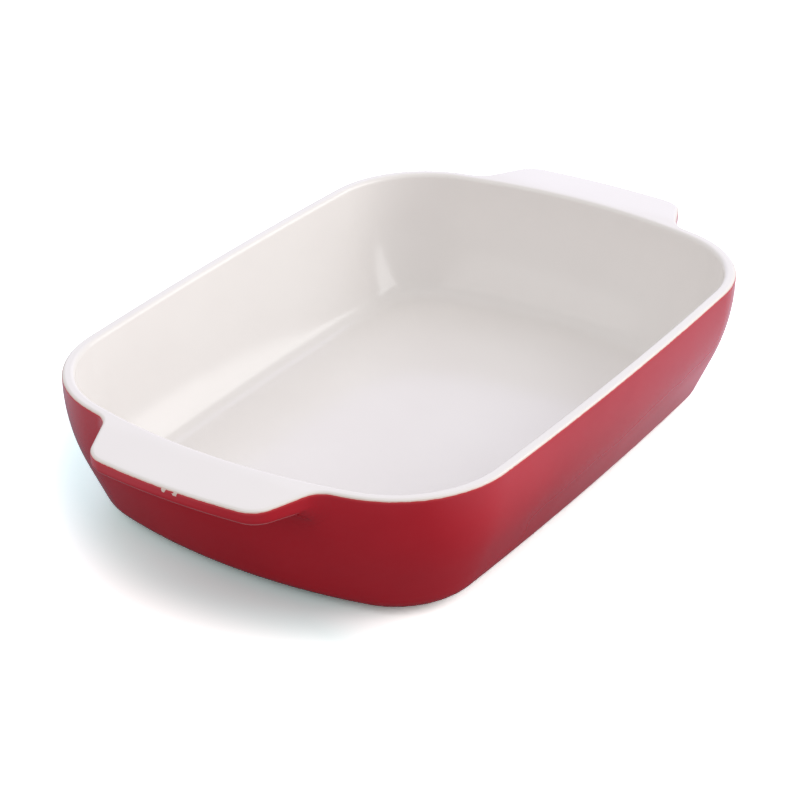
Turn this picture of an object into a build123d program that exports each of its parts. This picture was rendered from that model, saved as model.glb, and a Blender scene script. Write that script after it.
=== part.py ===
from build123d import *
import math
import os

# Plan of the rim: each end bows outward on one arc, each side on a flatter one, and a corner
# arc runs smoothly between them.
rim_length = 330.0
rim_width = 234.0
end_radius = 291.0
side_radius = 2590.0
corner_radius = 58.0

# Handles, cast in one with the rim. Each narrows outward to a bowed front, which takes up a share
# of the end between its corner arcs. Glaze gathers in the roots, so the clay turns tighter there.
grip_reach = 25.0
grip_share = 0.618
grip_taper = 18.0
grip_radius = 350.0
grip_corner = 11.9
root_radius = 12.0
clay_root_radius = 10.0
grip_thickness = 9.5
grip_round = 3.0
droop_start = 3.0
droop_radius = 60.0
droop_angle = 4.0

# Profile of the wall, from the crest of the rim down to the foot.
height = 71.0
rim_upright = 3.0
wall_radius = 100.0
bottom_radius = 17.5
wall_thickness = 6.0
floor_thickness = 6.5
floor_radius = 14.0
rim_outer_round = 1.8
rim_inner_round = 2.2

# Bare foot ring, and the two glazes that meet just below the crest.
foot_height = 2.5
foot_width = 7.0
foot_setback = 2.0
foot_round = 0.8
glaze = 0.5
glaze_line = 1.3

# How far a cut runs past the clay.
margin = 20.0

band_level = height - grip_thickness
floor_level = foot_height + floor_thickness


def rim_plan(inset):
    """Face of the rim's outline, drawn in by an inset."""
    with BuildSketch() as face:
        with Locations(Location((rim_length / 2 - end_radius, 0), 180)):
            Circle(end_radius - inset)
        with Locations((end_radius - rim_length / 2, 0)):
            Circle(end_radius - inset, mode=Mode.INTERSECT)
        with Locations((0, side_radius - rim_width / 2)):
            Circle(side_radius - inset, mode=Mode.INTERSECT)
        with Locations((0, rim_width / 2 - side_radius)):
            Circle(side_radius - inset, mode=Mode.INTERSECT)
        fillet(face.vertices(), corner_radius - inset)
    return face.sketch


def grip_plan(inset):
    """Face of one handle's outline, from inside the dish to its bowed front, drawn in likewise."""
    nose = rim_length / 2 + grip_reach
    back = rim_length / 2 - grip_reach
    slope = math.tan(math.radians(grip_taper))
    corner_start = rim_plan(0.0).vertices().sort_by(Axis.X)[-1]
    front = grip_share * abs(corner_start.Y)
    with BuildSketch() as face:
        with BuildLine():
            Polyline(
                (back, front + (nose - back) * slope),
                (nose + grip_reach, front - grip_reach * slope),
                (nose + grip_reach, grip_reach * slope - front),
                (back, -front - (nose - back) * slope),
                close=True,
            )
        make_face()
        with Locations(Location((nose - grip_radius, 0), 180)):
            Circle(grip_radius, mode=Mode.INTERSECT)
        fillet(face.vertices().group_by(Axis.X)[-1], grip_corner)
        offset(amount=-inset, mode=Mode.REPLACE)
    return face.sketch


def above_crest(skin):
    """Space over the crest: level across the dish, then turning down over each handle."""
    start = rim_length / 2 - droop_start
    with BuildPart() as space:
        with BuildSketch(Plane.XZ):
            with BuildLine():
                level = Line((0, height - skin), (start, height - skin))
                bend = JernArc(level @ 1, level % 1, droop_radius - skin, -droop_angle)
                fall = PolarLine(bend @ 1, grip_reach + margin, direction=bend % 1)
                far = (fall @ 1).X
                Polyline(fall @ 1, (far, height + margin), (0, height + margin), (0, height - skin))
            make_face()
            mirror(about=Plane.YZ)
        extrude(amount=rim_width / 2 + margin, both=True)
    return space.part


def flat_inset(base_level, gap, upper, lower):
    """Lean of a wall where its two radii meet, and the inset of the flat it comes down to."""
    lean = math.asin((height - rim_upright - base_level - lower) / (upper - lower))
    return lean, gap + upper - (upper - lower) * math.cos(lean)


def bowl(base_level, gap, upper, lower):
    """Solid bowl whose wall, a gap inside the rim's outline, is upright at the crest and past it,
    leans in from there on the upper radius and turns onto its flat bottom on the lower one."""
    lean, flat = flat_inset(base_level, gap, upper, lower)
    start = height - rim_upright
    turn_inset = gap + upper - upper * math.cos(lean)
    turn_level = start - upper * math.sin(lean)
    path = rim_plan(0.0).faces()[0].outer_wire()
    along = path % 0
    across = Plane(origin=path @ 0, x_dir=along.cross(Vector(0, 0, 1)), z_dir=-along)
    with BuildPart() as solid:
        with BuildSketch(across):
            with BuildLine():
                upright = Line((-gap, height + margin), (-gap, start))
                side = TangentArc(upright @ 1, (-turn_inset, turn_level), tangent=upright % 1)
                turn = TangentArc(side @ 1, (-flat, base_level), tangent=side % 1)
                Polyline(turn @ 1, (-flat, height + margin), (-gap, height + margin))
            make_face()
        sweep(path=path)
        with BuildSketch(Plane.XY.offset(base_level)):
            add(rim_plan(flat))
        extrude(amount=height + margin - base_level)
    return solid.part


def grips(skin):
    """Both handles' slabs, rising past the crest, with their lower edges rounded."""
    with BuildPart() as slabs:
        with BuildSketch(Plane.XY.offset(band_level + skin)):
            add(grip_plan(skin))
            add(grip_plan(skin), rotation=180)
        extrude(amount=grip_thickness + margin - skin)
        fillet(slabs.edges().group_by(Axis.Z)[0], grip_round - skin)
    return slabs.part


def dish_form(skin, root):
    """The whole dish, drawn in by a skin from its glazed surface all round. Under each handle
    and round its roots, one fillet of the root radius flows into the leaning wall."""
    inner = wall_thickness - skin
    with BuildPart() as form:
        add(bowl(foot_height + skin, skin, wall_radius - skin, bottom_radius - skin))
        add(grips(skin))
        fillet(form.edges(Select.NEW), root)
        add(above_crest(skin), mode=Mode.SUBTRACT)
        top = form.faces().filter_by(lambda f: f.normal_at().Z > 0.9)
        fillet(top.edges().filter_by(Axis.Y, reverse=True), rim_outer_round - skin)
        add(bowl(floor_level - skin, inner, wall_radius - inner, floor_radius + skin), mode=Mode.SUBTRACT)
        fillet(form.edges(Select.LAST).group_by(Axis.Z)[-1], rim_inner_round - skin)
    return form.part


foot_outer = flat_inset(foot_height, 0.0, wall_radius, bottom_radius)[1] + foot_setback
foot_inner = foot_outer + foot_width
half_wall = wall_thickness / 2
glazed_form = dish_form(0.0, root_radius)
clay_form = dish_form(glaze, clay_root_radius)

# Fired clay casting: dish, rim and both handles in one, standing on its bare foot ring.
with BuildPart() as stoneware_body:
    add(clay_form)
    with BuildSketch():
        add(rim_plan(foot_outer))
        add(rim_plan(foot_inner), mode=Mode.SUBTRACT)
    extrude(amount=foot_height + floor_thickness / 2)
    fillet(stoneware_body.edges().group_by(Axis.Z)[0], foot_round)
stoneware_body.part.label = "stoneware_body"

# Where the light glaze lies: inside the dish, over the crest and on top of the handles.
with BuildPart() as light_zone:
    add(bowl(floor_level - half_wall, half_wall, wall_radius - half_wall, floor_radius + half_wall))
    add(above_crest(glaze_line))

# Light glaze, poured inside and wiped off just over the crest.
with BuildPart() as cream_inner_glaze:
    add(glazed_form)
    add(clay_form, mode=Mode.SUBTRACT)
    add(light_zone.part, mode=Mode.INTERSECT)
cream_inner_glaze.part.label = "cream_inner_glaze"

# Dark glaze outside, from the light one's edge down to the foot ring.
with BuildPart() as red_outer_glaze:
    add(glazed_form)
    add(clay_form, mode=Mode.SUBTRACT)
    add(light_zone.part, mode=Mode.SUBTRACT)
    with BuildSketch():
        add(rim_plan(foot_outer))
    extrude(amount=foot_height + floor_thickness / 2, mode=Mode.SUBTRACT)
red_outer_glaze.part.label = "red_outer_glaze"

# The same dark glaze on the base, inside the foot ring.
with BuildPart() as red_base_glaze:
    with BuildSketch(Plane.XY.offset(foot_height)):
        add(rim_plan(foot_inner))
    extrude(amount=glaze)
red_base_glaze.part.label = "red_base_glaze"

os.makedirs("parts", exist_ok=True)
export_step(stoneware_body.part, "parts/stoneware_body.step")
export_step(cream_inner_glaze.part, "parts/cream_inner_glaze.step")
export_step(red_outer_glaze.part, "parts/red_outer_glaze.step")
export_step(red_base_glaze.part, "parts/red_base_glaze.step")
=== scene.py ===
import math

import bmesh
import bpy
import numpy as np
from mathutils import Matrix, Vector


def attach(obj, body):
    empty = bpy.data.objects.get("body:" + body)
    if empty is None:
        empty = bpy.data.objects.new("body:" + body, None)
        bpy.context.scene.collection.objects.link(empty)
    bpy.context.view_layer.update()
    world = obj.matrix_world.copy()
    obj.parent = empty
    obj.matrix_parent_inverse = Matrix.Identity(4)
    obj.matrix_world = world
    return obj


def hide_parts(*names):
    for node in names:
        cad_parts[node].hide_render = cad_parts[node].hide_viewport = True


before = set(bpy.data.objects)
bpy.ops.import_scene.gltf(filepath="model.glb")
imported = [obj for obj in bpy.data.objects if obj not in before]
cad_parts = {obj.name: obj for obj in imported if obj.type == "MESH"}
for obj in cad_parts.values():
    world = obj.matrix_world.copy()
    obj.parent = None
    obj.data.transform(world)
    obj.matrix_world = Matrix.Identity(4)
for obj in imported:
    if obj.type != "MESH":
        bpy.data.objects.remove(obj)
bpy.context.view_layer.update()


# Clay casting
# The dish is slip-cast stoneware, dried, fettled and fired. Only the foot ring is left bare: a
# dry, pale buff face, with fine grog and a little iron in it.
iron_buff, plain_buff, pale_buff = (0.60, 0.49, 0.36), (0.72, 0.62, 0.49), (0.80, 0.71, 0.59)
grog_scale, grog_detail = 320, 6
tooth_scale, tooth_detail, tooth_depth = 1400, 4, 0.00012
dry_roughness = 0.86


def new_finish(name):
    """A material, its nodes, its surface, and the place on the piece that its patterns read."""
    finish = bpy.data.materials.new(name)
    finish.use_nodes = True
    tree = finish.node_tree
    place = tree.nodes.new("ShaderNodeTexCoord")
    return finish, tree, tree.nodes["Principled BSDF"], place.outputs["Object"]


def feed(tree, value, socket):
    """Gives a socket a number, a colour, or what comes out of another socket."""
    if isinstance(value, (int, float)):
        socket.default_value = value
    elif isinstance(value, tuple):
        socket.default_value = (*value, 1)
    else:
        tree.links.new(value, socket)


def mottle(tree, spot, scale, detail):
    """Cloudy variation over the piece, between 0 and 1."""
    cloud = tree.nodes.new("ShaderNodeTexNoise")
    cloud.inputs["Scale"].default_value = scale
    cloud.inputs["Detail"].default_value = detail
    cloud.inputs["Roughness"].default_value = 0.55
    feed(tree, spot, cloud.inputs["Vector"])
    return cloud.outputs["Fac"]


def graded(tree, value, stops):
    """Colours that run into one another as a value rises from stop to stop."""
    ramp = tree.nodes.new("ShaderNodeValToRGB")
    first, last = ramp.color_ramp.elements
    first.position, first.color = stops[0][0], (*stops[0][1], 1)
    last.position, last.color = stops[-1][0], (*stops[-1][1], 1)
    for position, colour in stops[1:-1]:
        ramp.color_ramp.elements.new(position).color = (*colour, 1)
    feed(tree, value, ramp.inputs["Fac"])
    return ramp.outputs["Color"]


def wavy(tree, surface, height, depth):
    """Gives a surface a fine relief of a depth in metres."""
    bump = tree.nodes.new("ShaderNodeBump")
    bump.inputs["Strength"].default_value = 1.0
    bump.inputs["Distance"].default_value = depth
    feed(tree, height, bump.inputs["Height"])
    feed(tree, bump.outputs["Normal"], surface.inputs["Normal"])


def dress(node, finish):
    """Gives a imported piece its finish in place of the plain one."""
    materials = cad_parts[node].data.materials
    materials.clear()
    materials.append(finish)


bare_clay, tree, surface, spot = new_finish("bare_fired_clay")
grog = mottle(tree, spot, grog_scale, grog_detail)
buff = graded(tree, grog, [(0.30, iron_buff), (0.55, plain_buff), (0.80, pale_buff)])
feed(tree, buff, surface.inputs["Base Color"])
wavy(tree, surface, mottle(tree, spot, tooth_scale, tooth_detail), tooth_depth)
surface.inputs["Roughness"].default_value = dry_roughness
dress("stoneware_body", bare_clay)


# Red glaze outside
# A deep red glaze is sprayed over the wall, the bottom radius and the undersides of both wing
# handles, down to the foot ring, and fired glossy. It breaks pale where it lies thin, and the
# off-white glaze has run over it in a few short drips at a handle's edge. A painted highlight
# runs along the handles' lower round.
MM = 0.001

# The dish's outer face, in millimetres. Its handles taper more than the solid's, and its wall is a
# little fuller near the foot: straight there, and turned tighter onto the base.
crest, half_length, half_width = 71.0, 165.0, 117.0
end_radius, side_radius, corner_radius = 291.0, 2590.0, 58.0
grip_reach, grip_half, grip_taper = 25.0, 44.0, math.radians(24.0)
grip_front, grip_corner, root_radius = 350.0, 14.0, 12.0
grip_under, grip_round, lip_round = 61.5, 3.0, 1.8
droop_start, droop_radius, droop_angle = 3.0, 60.0, math.radians(4.0)
rim_upright, wall_radius, straight_below = 3.0, 100.0, 29.0
bottom_radius, foot_level, foot_inset = 12.0, 2.5, 34.8
glaze_depth = 0.45
tiny = 1e-6

# Columns of the skin over each stretch of a quarter of the outline.
nose_steps, grip_corner_steps, flank_steps, root_steps = 26, 18, 13, 18
end_steps, corner_steps, side_steps = 9, 38, 26
handle_steps = nose_steps + grip_corner_steps + flank_steps + root_steps

end_centre = np.array([half_length - end_radius, 0.0])
side_centre = np.array([0.0, half_width - side_radius])
nose_centre = np.array([half_length + grip_reach - grip_front, 0.0])
flank_faces = np.array([math.sin(grip_taper), math.cos(grip_taper)])
flank_reach = flank_faces @ np.array([half_length + grip_reach, grip_half])


def where_circles_meet(first, first_radius, second, second_radius):
    """Where two circles cross in the quarter that the outline is drawn in."""
    gap = np.linalg.norm(second - first)
    along = (first_radius**2 - second_radius**2 + gap**2) / (2 * gap)
    across = math.sqrt(first_radius**2 - along**2)
    way = (second - first) / gap
    square = np.array([-way[1], way[0]])
    either = [first + along * way + across * square, first + along * way - across * square]
    return max(either, key=min)


def where_circle_meets_flank(centre, radius, off_flank):
    """Where a circle crosses a line that runs beside the handle's flank."""
    over = flank_reach + off_flank - flank_faces @ centre
    outward = np.array([flank_faces[1], -flank_faces[0]])
    return centre + over * flank_faces + math.sqrt(radius**2 - over**2) * outward


corner_centre = where_circles_meet(
    end_centre, end_radius - corner_radius, side_centre, side_radius - corner_radius)
grip_centre = where_circle_meets_flank(nose_centre, grip_front - grip_corner, -grip_corner)
root_centre = where_circle_meets_flank(end_centre, end_radius + root_radius, root_radius)


def bearing(centre, point):
    way = point - centre
    return math.atan2(way[1], way[0])


def arc_run(centre, radius, start, stop, steps, facing=1):
    """Points along an arc, without its last, and the ways that the outline faces there."""
    turns = np.linspace(start, stop, steps + 1)[:-1]
    spokes = np.stack([np.cos(turns), np.sin(turns)], 1)
    return centre + radius * spokes, facing * spokes


def flank_run():
    """The same for the handle's straight flank, from its corner to its root."""
    first = grip_centre + grip_corner * flank_faces
    last = root_centre - root_radius * flank_faces
    share = np.linspace(0, 1, flank_steps + 1)[:-1, None]
    return first + share * (last - first), np.repeat(flank_faces[None], flank_steps, 0)


def quarter_outline():
    """Outline of rim and handle over one quarter, from the handle's middle to the side's."""
    nose_turn = bearing(nose_centre, grip_centre)
    flank_turn = math.atan2(flank_faces[1], flank_faces[0])
    root_turn = bearing(end_centre, root_centre)
    end_turn = bearing(end_centre, corner_centre)
    side_turn = bearing(side_centre, corner_centre)
    root_from, root_to = flank_turn - math.pi, root_turn - math.pi
    runs = (
        arc_run(nose_centre, grip_front, 0.0, nose_turn, nose_steps),
        arc_run(grip_centre, grip_corner, nose_turn, flank_turn, grip_corner_steps),
        flank_run(),
        arc_run(root_centre, root_radius, root_from, root_to, root_steps, facing=-1),
        arc_run(end_centre, end_radius, root_turn, end_turn, end_steps),
        arc_run(corner_centre, corner_radius, end_turn, side_turn, corner_steps),
        arc_run(side_centre, side_radius, side_turn, math.pi / 2, side_steps),
    )
    return [np.concatenate(part) for part in zip(*runs)]


def bare_rim(points, ways):
    """The quarter with its handle left off, and as many points on the rim in its place."""
    root_share = root_radius / (end_radius + root_radius)
    handle_end = root_centre + root_share * (end_centre - root_centre)
    covered = slice(handle_steps + 1)
    legs = np.linalg.norm(np.diff(points[covered], axis=0), axis=1)
    run = np.r_[0.0, np.cumsum(legs)]
    rim_y = run / run[-1] * handle_end[1]
    rim_x = end_centre[0] + np.sqrt(end_radius**2 - rim_y**2)
    points, ways = points.copy(), ways.copy()
    points[covered] = np.column_stack([rim_x, rim_y])
    ways[covered] = (points[covered] - end_centre) / end_radius
    return points, ways


def all_round(points, ways):
    """A quarter laid out four times round the dish, in one turn."""
    quarter = np.vstack([points, (0.0, half_width)])
    facing = np.vstack([ways, (0.0, 1.0)])
    run, face = [], []
    for flip, order in (((1, 1), 1), ((-1, 1), -1), ((-1, -1), 1), ((1, -1), -1)):
        run.append((quarter * flip)[::order][:-1])
        face.append((facing * flip)[::order][:-1])
    return np.concatenate(run), np.concatenate(face)


quarter, quarter_ways = quarter_outline()
outline, outline_ways = all_round(quarter, quarter_ways)
rim_base, rim_ways = all_round(*bare_rim(quarter, quarter_ways))


def rim_at(inset):
    """The bare rim's outline drawn in by an inset, one point for each column of the skin."""
    return rim_base - inset * rim_ways


def off_circle(spot, centre, radius):
    spoke = spot - centre
    reach = np.linalg.norm(spoke, axis=1)
    return reach - radius, spoke / reach[:, None]


def between_ways(spot, centre, first_way, last_way):
    """Whether a spot lies past a corner's centre, between the ways that its arc starts and ends."""
    spoke = spot - centre
    past_first = first_way[0] * spoke[:, 1] - first_way[1] * spoke[:, 0] > 0
    return past_first & (last_way[0] * spoke[:, 1] - last_way[1] * spoke[:, 0] < 0)


def off_rim(spot):
    """Distance outside the bare rim's outline, and the way that the outline faces there."""
    end, end_faces = off_circle(spot, end_centre, end_radius)
    side, side_faces = off_circle(spot, side_centre, side_radius)
    corner, corner_faces = off_circle(spot, corner_centre, corner_radius)
    on_corner = between_ways(
        spot, corner_centre, corner_centre - end_centre, corner_centre - side_centre)
    faces = np.where((end > side)[:, None], end_faces, side_faces)
    off = np.where(on_corner, corner, np.maximum(end, side))
    return off, np.where(on_corner[:, None], corner_faces, faces)


def off_grip(spot):
    """Distance outside one handle's outline, which is closed behind inside the dish, and the way
    that the outline faces there."""
    front, front_faces = off_circle(spot, nose_centre, grip_front)
    corner, corner_faces = off_circle(spot, grip_centre, grip_corner)
    flank = spot @ flank_faces - flank_reach
    on_corner = between_ways(spot, grip_centre, grip_centre - nose_centre, flank_faces)
    faces = np.where((front > flank)[:, None], front_faces, flank_faces)
    off = np.where(on_corner, corner, np.maximum(front, flank))
    faces = np.where(on_corner[:, None], corner_faces, faces)
    behind = half_length - grip_reach - spot[:, 0]
    return np.maximum(off, behind), np.where((behind > off)[:, None], (-1.0, 0.0), faces)


lean_top = crest - rim_upright
wall_lean = math.asin((lean_top - straight_below) / wall_radius)
turn_level = foot_level + bottom_radius - bottom_radius * math.sin(wall_lean)
straight_run = (straight_below - turn_level) * math.tan(wall_lean)
straight_inset = wall_radius - wall_radius * math.cos(wall_lean) + straight_run
wall_flat = straight_inset + bottom_radius * math.cos(wall_lean)


def wall_inset(z):
    """How far the outer wall has leaned in at a level, and the slope of that lean."""
    down = np.clip(lean_top - z, 0, lean_top - straight_below)
    run = np.clip(straight_below - z, 0, straight_below - turn_level)
    drawn_in = np.sqrt(wall_radius**2 - down**2)
    return wall_radius - drawn_in + run * math.tan(wall_lean), down / drawn_in


def top_level(x):
    """Level of the crest and of the handles' tops, which turn down outward."""
    past = np.abs(x) - (half_length - droop_start)
    bend = droop_radius * math.sin(droop_angle)
    on_bend = droop_radius - np.sqrt(droop_radius**2 - np.clip(past, 0, bend)**2)
    return crest - on_bend - np.maximum(past - bend, 0) * math.tan(droop_angle)


def outer_form(points):
    """Distance outside the dish's outer surface. Under and beside the handles, a ball rolls
    along wall and handle, and the surface follows it."""
    spot, z = np.abs(points[:, :2]), points[:, 2]
    inset, slope = wall_inset(z)
    steep = np.sqrt(1 + slope**2)
    off_wall, wall_faces = off_rim(spot)
    wall = (off_wall + inset) / steep
    side, side_faces = off_grip(spot)
    past_side = np.maximum(side + grip_round, 0)
    past_under = np.maximum(grip_under - z + grip_round, 0)
    past_edge = np.hypot(past_side, past_under)
    slab = np.minimum(-grip_round, np.maximum(side, grip_under - z)) + past_edge

    # How much alike wall and handle face, up to where the ball would no longer fit between them.
    most_alike = 0.95
    alike = (wall_faces * side_faces).sum(1) * past_side + slope * past_under
    alike = np.minimum(alike / (steep * np.maximum(past_edge, tiny)), most_alike)
    to_wall, to_slab = wall - root_radius, slab - root_radius
    from_ball = np.sqrt(
        (to_wall**2 + to_slab**2 - 2 * alike * to_wall * to_slab) / (1 - alike**2))
    on_ball = (to_wall < alike * to_slab) & (to_slab < alike * to_wall)
    joined = np.where(on_ball, root_radius - from_ball, np.minimum(wall, slab))

    over = z - top_level(points[:, 0])
    past_lip = np.hypot(np.maximum(joined + lip_round, 0), np.maximum(over + lip_round, 0))
    return np.minimum(-lip_round, np.maximum(joined, over)) + past_lip


def settled(points):
    """Points moved square onto the outer surface in a few rounds."""
    rounds, feeler, least_steep = 12, 0.01, 0.2
    points = points.copy()
    for _ in range(rounds):
        slope = np.stack([
            (outer_form(points + feeler * axis) - outer_form(points - feeler * axis)) / (2 * feeler)
            for axis in np.eye(3)
        ], 1)
        steep = np.maximum((slope**2).sum(1), least_steep)
        points -= (outer_form(points) / steep)[:, None] * slope
    return points


def with_level(plan, z):
    return np.column_stack([plan, np.broadcast_to(z, len(plan))])


def between(first, last, count):
    """Even steps from one ring to the next, without the last."""
    return [first + (last - first) * share for share in np.linspace(0, 1, count + 1)[:-1]]


def lip_ring(share):
    """Ring on the lip's outer round, at a share of its quarter turn from the top."""
    turn = math.pi / 2 * share
    inset = lip_round - lip_round * math.sin(turn)
    z = top_level(outline[:, 0]) - lip_round + lip_round * math.cos(turn)
    return with_level(outline - inset * outline_ways, z)


def turned_flat(level, radius, flat_inset, lean, steps):
    """Rings that turn from a leaning wall, on a radius, onto a flat."""
    turned = []
    for turn in np.linspace(lean, math.pi / 2, steps + 1)[1:]:
        z = level + radius - radius * math.sin(turn)
        turned.append(with_level(rim_at(flat_inset - radius * math.cos(turn)), z))
    return turned


# How far the handle stands out over the rim at each column, and two shares of it: one is 0 on the
# bare rim and 1 where the handle's underside is flat, the other comes in over the edge's round.
overhang = np.linalg.norm(outline - rim_base, axis=1)
flat_share = np.clip(overhang / (root_radius + grip_round), 0, 1)
flat_share = flat_share * flat_share * (3 - 2 * flat_share)
round_starts, round_full = 2 * grip_round, 5 * grip_round
round_share = np.clip((overhang - round_starts) / (round_full - round_starts), 0, 1)

# First places of the rings, from where the glazes meet on the lip, down the handle's edge and in
# along its underside to the wall. Each ring then settles onto the true surface.
glazes_meet, below_root, drop_share = 0.62, 1.0, 0.4
lip_rings, edge_rings, round_rings, under_rings, root_rings = 3, 4, 5, 6, 10
lip_low = with_level(outline, top_level(outline[:, 0]) - lip_round)
edge_low = with_level(outline, grip_under + grip_round)
inward = (grip_round * round_share)[:, None]
edge_rise = (1 - flat_share) * grip_round / 2
under_edge = with_level(outline - inward * outline_ways, grip_under + edge_rise)
reach = np.minimum(root_radius, overhang / 2)[:, None]
toward = (outline - rim_base) / np.maximum(overhang, tiny)[:, None]
root_drop = (1 - flat_share) * drop_share * root_radius
under_root = with_level(rim_base + reach * toward, grip_under - root_drop)
wall_start = with_level(rim_base, grip_under - root_radius - below_root)
rings = (
    between(lip_ring(glazes_meet), lip_low, lip_rings)
    + between(lip_low, edge_low, edge_rings)
    + between(edge_low, under_edge, round_rings)
    + between(under_edge, under_root, under_rings)
    + between(under_root, wall_start, root_rings)
    + [wall_start]
)
rings = [settled(ring) for ring in rings]

# Below the handles the rings follow the wall down, turn under on the bottom radius and end at
# the foot ring.
wall_gap, rings_on_curve, bottom_steps = 4.0, 4, 11
wall_levels = np.arange(straight_below + rings_on_curve * wall_gap, turn_level, -wall_gap)
rings += [with_level(rim_at(wall_inset(z)[0]), z) for z in (*wall_levels, turn_level)]
rings += turned_flat(foot_level, bottom_radius, wall_flat, wall_lean, bottom_steps)
rings.append(with_level(rim_at(foot_inset), foot_level))


def ringed_skin(name, rings, close_with_face=False):
    """A skin drawn out ring by ring from one closed loop of edges. Each of its points knows how
    far it lies from the first ring."""
    form = bmesh.new()
    run = form.verts.layers.float.new("below_lip")
    loop = bmesh.ops.create_circle(form, segments=len(rings[0]), radius=1.0)["verts"]
    loop = sorted(loop, key=lambda v: math.atan2(v.co.y, v.co.x) % (2 * math.pi - tiny))
    for vert, spot in zip(loop, rings[0]):
        vert.co = Vector(spot) * MM
    for previous, ring in zip(rings, rings[1:]):
        edges = [form.edges.get((loop[i - 1], loop[i])) for i in range(len(loop))]
        drawn = bmesh.ops.extrude_edge_only(form, edges=edges)["geom"]
        fresh = {v for v in drawn if isinstance(v, bmesh.types.BMVert)}
        grown = [
            next(e.other_vert(vert) for e in vert.link_edges if e.other_vert(vert) in fresh)
            for vert in loop
        ]
        travel = np.linalg.norm(ring - previous, axis=1)
        for vert, old, spot, moved in zip(grown, loop, ring, travel):
            vert.co = Vector(spot) * MM
            vert[run] = old[run] + moved * MM
        loop = grown
    if close_with_face:
        form.faces.new(loop)
    bmesh.ops.recalc_face_normals(form, faces=form.faces)
    for face in form.faces:
        face.smooth = True
    mesh = bpy.data.meshes.new(name)
    form.to_mesh(mesh)
    form.free()
    piece = bpy.data.objects.new(name, mesh)
    bpy.context.scene.collection.objects.link(piece)
    return piece


def turn_out(skin, spot, outward):
    """Turns a skin over if its face nearest to a spot doesn't look outward."""
    nearest = min(skin.data.polygons, key=lambda face: (face.center - Vector(spot)).length)
    if nearest.normal.dot(Vector(outward)) < 0:
        skin.data.flip_normals()


def thicken(skin):
    """Gives a skin the depth of the glaze, inward from its face."""
    depth = skin.modifiers.new("glaze_depth", "SOLIDIFY")
    depth.thickness = glaze_depth * MM
    depth.offset = -1.0
    depth.use_even_offset = True


red_skin = ringed_skin("red_glaze_outside", rings)
turn_out(red_skin, spot=(0, -0.112, 0.04), outward=(0, -1, 0))
thicken(red_skin)
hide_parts("red_outer_glaze")
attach(red_skin, "root")

# Finish of the red glaze. Places and sizes in a finish are in metres.
dark_red, full_red = (0.420, 0.0090, 0.0190), (0.490, 0.0110, 0.0225)
thin_red, thin_reach, thin_strength = (0.58, 0.030, 0.030), (0.0002, 0.0016), 0.55
drip_white, drip_length, edge_wander = (0.74, 0.60, 0.54), 0.0017, 0.00045
drips_start, drips_stop, drips_front = (-0.0080, -0.0065), (0.0035, 0.0050), -0.18
pool_scale, drip_scale, drip_onset, wander_scale = 14, 300, (0.46, 0.60), 420
dust_pink, dust_scale, dust_size, dust_rare = (0.62, 0.30, 0.28), 34.0, 0.012, 0.75
# Painted highlight along the handles' lower round: its colour, where it starts outward, its
# strength and its band of heights.
painted_highlight_pink, highlight_reach, highlight_strength = (0.80, 0.28, 0.30), (0.166, 0.171), 0.50
highlight_low, highlight_high = (0.06155, 0.06175), (0.06275, 0.06335)
foot_buff, foot_edge, foot_strength = (0.74, 0.58, 0.54), (0.0042, 0.0053), 0.7
red_wave_scale, red_wave_depth, red_roughness, glass_ior = 26, 0.00035, 0.10, 1.5


def from_lip(tree):
    """How far a place lies below the line where the glazes meet."""
    reach = tree.nodes.new("ShaderNodeAttribute")
    reach.attribute_name = "below_lip"
    return reach.outputs["Fac"]


def reckon(tree, operation, first, second=0.0):
    sum_node = tree.nodes.new("ShaderNodeMath")
    sum_node.operation = operation
    feed(tree, first, sum_node.inputs[0])
    feed(tree, second, sum_node.inputs[1])
    return sum_node.outputs["Value"]


def times(tree, first, *others):
    for other in others:
        first = reckon(tree, "MULTIPLY", first, other)
    return first


def rising(tree, value, low, high):
    """Runs smoothly from 0 at a low value to 1 at a high one."""
    span = tree.nodes.new("ShaderNodeMapRange")
    span.interpolation_type = "SMOOTHSTEP"
    feed(tree, value, span.inputs["Value"])
    feed(tree, low, span.inputs["From Min"])
    feed(tree, high, span.inputs["From Max"])
    return span.outputs["Result"]


def falling(tree, value, low, high):
    """Runs smoothly from 1 at a low value to 0 at a high one."""
    return reckon(tree, "SUBTRACT", 1.0, rising(tree, value, low, high))


def laid_over(tree, share, under, over):
    """One colour laid over another by a share."""
    blend = tree.nodes.new("ShaderNodeMix")
    blend.data_type = "RGBA"
    feed(tree, share, blend.inputs["Factor"])
    feed(tree, under, blend.inputs["A"])
    feed(tree, over, blend.inputs["B"])
    return blend.outputs["Result"]


red_glaze, tree, surface, spot = new_finish("deep_red_glaze")
along = tree.nodes.new("ShaderNodeSeparateXYZ")
feed(tree, spot, along.inputs["Vector"])
x, y, z = along.outputs["X"], along.outputs["Y"], along.outputs["Z"]

# The red pools and thins in a slow wave, and lies thin just below the lip.
pools = mottle(tree, spot, pool_scale, 3)
red = graded(tree, pools, [(0.30, dark_red), (0.70, full_red)])
thin = falling(tree, from_lip(tree), *thin_reach)
red = laid_over(tree, times(tree, thin, thin_strength), red, thin_red)

# The off-white glaze ends in a line that wanders, with drips at the near handle's front.
dripping = times(tree, rising(tree, y, *drips_start), falling(tree, y, *drips_stop),
                 reckon(tree, "LESS_THAN", x, drips_front))
teeth = rising(tree, mottle(tree, spot, drip_scale, 1), *drip_onset)
drips = times(tree, teeth, dripping, drip_length)
wander = times(tree, mottle(tree, spot, wander_scale, 2), edge_wander)
white_line = reckon(tree, "ADD", wander, drips)
red = laid_over(tree, reckon(tree, "LESS_THAN", from_lip(tree), white_line), red, drip_white)

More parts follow.
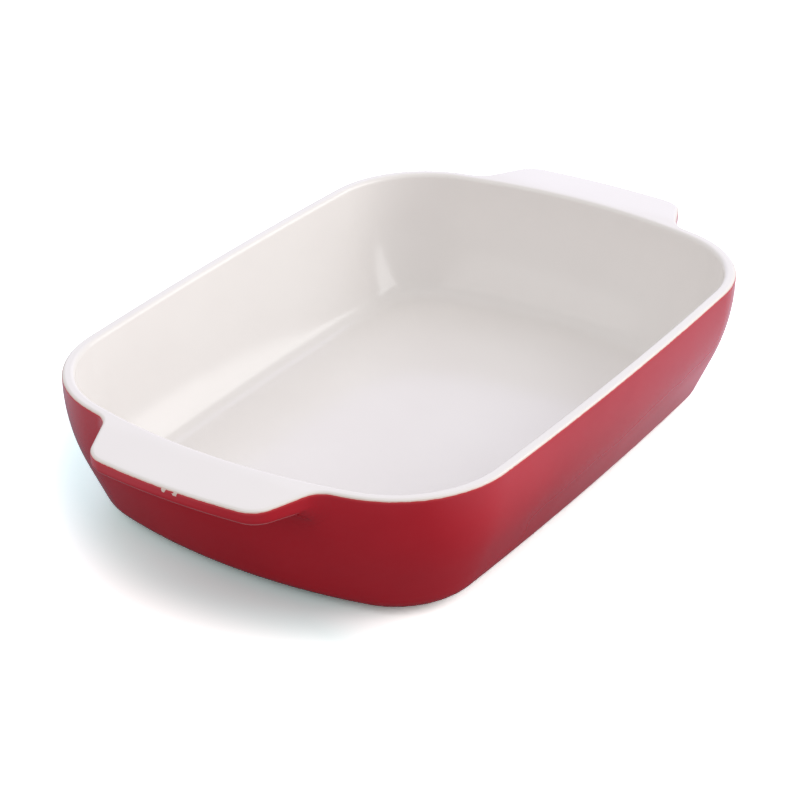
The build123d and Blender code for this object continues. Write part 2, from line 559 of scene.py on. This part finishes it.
# A few specks of dust are fired into the red.
dust = tree.nodes.new("ShaderNodeTexVoronoi")
dust.inputs["Scale"].default_value = dust_scale
feed(tree, spot, dust.inputs["Vector"])
lone = tree.nodes.new("ShaderNodeSeparateColor")
feed(tree, dust.outputs["Color"], lone.inputs["Color"])
speck = times(tree, reckon(tree, "LESS_THAN", dust.outputs["Distance"], dust_size),
              reckon(tree, "GREATER_THAN", lone.outputs["Red"], dust_rare))
red = laid_over(tree, speck, red, dust_pink)

# A painted highlight, a pale pink line along the handles' lower round, where a lamp shines in
# the glaze. Over its lowest few millimetres, by the foot, the red pales to buff.
highlight_on_handle = rising(tree, reckon(tree, "ABSOLUTE", x), *highlight_reach)
highlight_on_round = times(tree, rising(tree, z, *highlight_low), falling(tree, z, *highlight_high))
red = laid_over(tree, times(tree, highlight_on_handle, highlight_on_round, highlight_strength), red, painted_highlight_pink)
red = laid_over(tree, times(tree, falling(tree, z, *foot_edge), foot_strength), red, foot_buff)
feed(tree, red, surface.inputs["Base Color"])
wavy(tree, surface, mottle(tree, spot, red_wave_scale, 1), red_wave_depth)
surface.inputs["Roughness"].default_value = red_roughness
surface.inputs["IOR"].default_value = glass_ior
red_skin.data.materials.append(red_glaze)


# Off-white glaze inside
# A second, off-white glaze is poured inside, over the crest and along the tops of the handles,
# and wiped off just over the outer lip, so that it meets the red there.
wall_thick, floor_level, floor_radius, inner_round = 6.0, 9.0, 14.0, 2.2
inner_wall = wall_radius - wall_thick
inner_lean = math.asin((lean_top - floor_level - floor_radius) / (inner_wall - floor_radius))
inner_flat = wall_radius - (inner_wall - floor_radius) * math.cos(inner_lean)
lip_steps, crest_steps, round_steps, wall_steps, floor_steps = 5, 14, 6, 16, 11
floor_rings = (3, 8, 18)

# From where the glazes meet, up over the lip and across the crest.
rings = [settled(lip_ring(share)) for share in np.linspace(glazes_meet, 0.0, lip_steps + 1)[:-1]]
crest_outer, crest_inner = outline - lip_round * outline_ways, rim_at(wall_thick - inner_round)
across = between(crest_outer, crest_inner, crest_steps) + [crest_inner]
across = [with_level(plan, top_level(plan[:, 0])) for plan in across]
rings += [settled(across[0])] + across[1:]

# Over the inner round, down the wall and onto the floor.
for turn in np.linspace(0, math.pi / 2, round_steps + 1)[1:]:
    inset = wall_thick - inner_round + inner_round * math.sin(turn)
    rings.append(with_level(rim_at(inset), crest - inner_round + inner_round * math.cos(turn)))
for turn in np.linspace(0, inner_lean, wall_steps + 1):
    inset = wall_radius - inner_wall * math.cos(turn)
    rings.append(with_level(rim_at(inset), lean_top - inner_wall * math.sin(turn)))
rings += turned_flat(floor_level, floor_radius, inner_flat, inner_lean, floor_steps)
rings += [with_level(rim_at(inner_flat + further), floor_level) for further in floor_rings]

cream_skin = ringed_skin("off_white_glaze_inside", rings, close_with_face=True)
turn_out(cream_skin, spot=(0, 0, 0.009), outward=(0, 0, 1))
thicken(cream_skin)
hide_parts("cream_inner_glaze")
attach(cream_skin, "root")

# Finish of the off-white glaze, a little cloudy and rubbed thin at its wiped edge.
thin_milk, full_milk, rubbed_milk = (0.80, 0.765, 0.745), (0.83, 0.80, 0.78), (0.80, 0.60, 0.52)
rub_start, rub_least, rub_wander, rub_strength = 0.0001, 0.0002, 0.0009, 0.65
cloud_scale, rub_scale = 9, 260
milk_wave_scale, milk_wave_depth, milk_roughness = 22, 0.0003, 0.16

cream_glaze, tree, surface, spot = new_finish("off_white_glaze")
clouds = mottle(tree, spot, cloud_scale, 3)
milk = graded(tree, clouds, [(0.30, thin_milk), (0.70, full_milk)])
rub_more = times(tree, mottle(tree, spot, rub_scale, 2), rub_wander)
rub_end = reckon(tree, "ADD", rub_least, rub_more)
rubbed = falling(tree, from_lip(tree), rub_start, rub_end)
milk = laid_over(tree, times(tree, rubbed, rub_strength), milk, rubbed_milk)
feed(tree, milk, surface.inputs["Base Color"])
wavy(tree, surface, mottle(tree, spot, milk_wave_scale, 1), milk_wave_depth)
surface.inputs["Roughness"].default_value = milk_roughness
surface.inputs["IOR"].default_value = glass_ior
cream_skin.data.materials.append(cream_glaze)


# Glaze on the base
# The recess inside the foot ring is sprayed with the same red, so the dish wipes clean below.
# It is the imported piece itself.
dress("red_base_glaze", red_glaze)


# Floor
# A plain sheet, seen by the camera as white but for the dish's soft shadow. Close by the dish,
# except on its right, the camera sees a dimmer, cooler sheet: painted shade that deepens the
# shadow and greys the red light that the dish throws on it. It lights the dish as a mid grey
# sheet does. The glaze mirrors a painted reflection: the sheet is painted dark by the dish and
# pale lilac further away and to both sides.
floor_size, floor_drop = 12, 0.0004
felt_grey = (0.50, 0.50, 0.50)
# Painted shade: the camera sees the first, dimmer and cooler, close by the dish, and the second
# further out.
painted_shade_white, open_white = (1.20, 1.54, 1.54), (1.95, 2.05, 2.05)
# Painted reflection: the glaze mirrors a sheet painted dark grey by the dish and pale lilac further
# out and to both sides.
mirrored_painted_shade, mirrored_painted_lilac = (0.26, 0.24, 0.28), (0.74, 0.69, 0.79)
to_the_right = (0.55, -0.83, 0.0)
open_from, open_right = (0.16, 0.20), (-0.050, 0.005)
painted_lilac_from, painted_lilac_right, painted_lilac_left = (0.24, 0.44), (0.03, 0.16), (0.15, 0.26)


def matt(tree, colour):
    sheet = tree.nodes.new("ShaderNodeBsdfDiffuse")
    feed(tree, colour, sheet.inputs["Color"])
    return sheet.outputs["BSDF"]


def shown_to(tree, ray, shown, otherwise):
    """Shows one shader to a kind of ray, and another to the rest."""
    seen = tree.nodes.new("ShaderNodeLightPath")
    choice = tree.nodes.new("ShaderNodeMixShader")
    feed(tree, seen.outputs[ray], choice.inputs["Fac"])
    feed(tree, otherwise, choice.inputs[1])
    feed(tree, shown, choice.inputs[2])
    return choice.outputs["Shader"]


def measured(tree, operation, spot, way=(0.0, 0.0, 0.0)):
    """How far a place lies from the dish's middle, or along a way from it."""
    rule = tree.nodes.new("ShaderNodeVectorMath")
    rule.operation = operation
    feed(tree, spot, rule.inputs[0])
    rule.inputs[1].default_value = way
    return rule.outputs["Value"]


bpy.ops.mesh.primitive_plane_add(size=floor_size, location=(0, 0, -floor_drop))
floor = bpy.context.object
floor.name = "floor_sheet"
white_sheet = bpy.data.materials.new("white_sheet")
white_sheet.use_nodes = True
tree = white_sheet.node_tree
tree.nodes.clear()
spot = tree.nodes.new("ShaderNodeTexCoord").outputs["Object"]
distance = measured(tree, "LENGTH", spot)
right_of = measured(tree, "DOT_PRODUCT", spot, to_the_right)
left_of = times(tree, right_of, -1.0)
# Where the painted shade ends: away from the dish, or on its right.
opened = reckon(tree, "MAXIMUM", rising(tree, distance, *open_from),
                rising(tree, right_of, *open_right))
# Painted lilac light in the reflection, away from the dish and to its sides.
painted_lilac_beside = reckon(tree, "MAXIMUM", rising(tree, right_of, *painted_lilac_right),
                    rising(tree, left_of, *painted_lilac_left))
painted_lilac_share = reckon(tree, "MAXIMUM", rising(tree, distance, *painted_lilac_from), painted_lilac_beside)
painted_reflection = matt(tree, laid_over(tree, painted_lilac_share, mirrored_painted_shade, mirrored_painted_lilac))
shown = matt(tree, laid_over(tree, opened, painted_shade_white, open_white))
unseen = shown_to(tree, "Is Glossy Ray", painted_reflection, otherwise=matt(tree, felt_grey))
sheet = shown_to(tree, "Is Camera Ray", shown, otherwise=unseen)
feed(tree, sheet, tree.nodes.new("ShaderNodeOutputMaterial").inputs["Surface"])
floor.data.materials.append(white_sheet)


# Light
# A white room, with a large soft light low on the right, weak ones overhead and on the left, and
# a wide violet panel behind the dish that shines in its level glaze.
room_white, room_strength = (1.0, 0.99, 0.985), 0.73
seen_white, seen_strength = (1.0, 0.985, 1.0), 1.0
plain_light, violet_light = (1.0, 1.0, 1.0), (0.68, 0.66, 1.0)


def glow(tree, colour, strength):
    wall = tree.nodes.new("ShaderNodeBackground")
    feed(tree, colour, wall.inputs["Color"])
    feed(tree, strength, wall.inputs["Strength"])
    return wall.outputs["Background"]


world = bpy.data.worlds.new("white_room")
bpy.context.scene.world = world
world.use_nodes = True
tree = world.node_tree
tree.nodes.clear()
room = shown_to(tree, "Is Camera Ray", glow(tree, seen_white, seen_strength),
                otherwise=glow(tree, room_white, room_strength))
feed(tree, room, tree.nodes.new("ShaderNodeOutputWorld").inputs["Surface"])


def soft_light(name, size, power, place, aim, colour=plain_light):
    lamp = bpy.data.lights.new(name, "AREA")
    lamp.shape = "SQUARE"
    lamp.size = size
    lamp.energy = power
    lamp.color = colour
    holder = bpy.data.objects.new(name, lamp)
    bpy.context.scene.collection.objects.link(holder)
    holder.location = place
    holder.rotation_euler = (Vector(aim) - Vector(place)).to_track_quat("-Z", "Y").to_euler()


soft_light("right_softbox", size=2.2, power=38.5, place=(1.15, -1.8, 0.72), aim=(0, 0, 0.03))
soft_light("top_softbox", size=1.5, power=0.8, place=(0.3, 0.3, 1.9), aim=(0, 0, 0))
soft_light("back_panel", size=2.2, power=12.5, place=(1.83, 1.22, 1.25), aim=(0, 0, 0.05),
           colour=violet_light)
soft_light("left_softbox", size=1.6, power=5.0, place=(-1.6, 0.9, 1.5), aim=(0.1, 0, 0.03))


# Camera
# A long lens, looking down at the dish from over its near handle. The picture is square, and the
# lens's length is worked out from the number of pixels that it spans.
focal_pixels, image_side, sensor_width, nearest_seen = 2452.0, 800.0, 36.0, 0.05
azimuth, elevation, roll = math.radians(-56.39), math.radians(28.68), math.radians(-0.22)
looked_at, camera_distance = (-74.7, -42.6, crest), 1095.3

level_back = Vector((math.sin(azimuth), -math.cos(azimuth), 0)) * math.cos(elevation)
back = level_back + Vector((0, 0, math.sin(elevation)))
level_right = Vector((math.cos(azimuth), math.sin(azimuth), 0))
level_up = back.cross(level_right)
right = math.cos(roll) * level_right + math.sin(roll) * level_up
up = math.cos(roll) * level_up - math.sin(roll) * level_right
lens = bpy.data.cameras.new("packshot_camera")
lens.sensor_width = sensor_width
lens.lens = focal_pixels / image_side * sensor_width
lens.clip_start = nearest_seen
camera = bpy.data.objects.new("packshot_camera", lens)
bpy.context.scene.collection.objects.link(camera)
turned = Matrix((right, up, back)).transposed().to_4x4()
turned.translation = (Vector(looked_at) + back * camera_distance) * MM
camera.matrix_world = turned
bpy.context.scene.camera = camera
bpy.context.scene.view_settings.view_transform = "Standard"
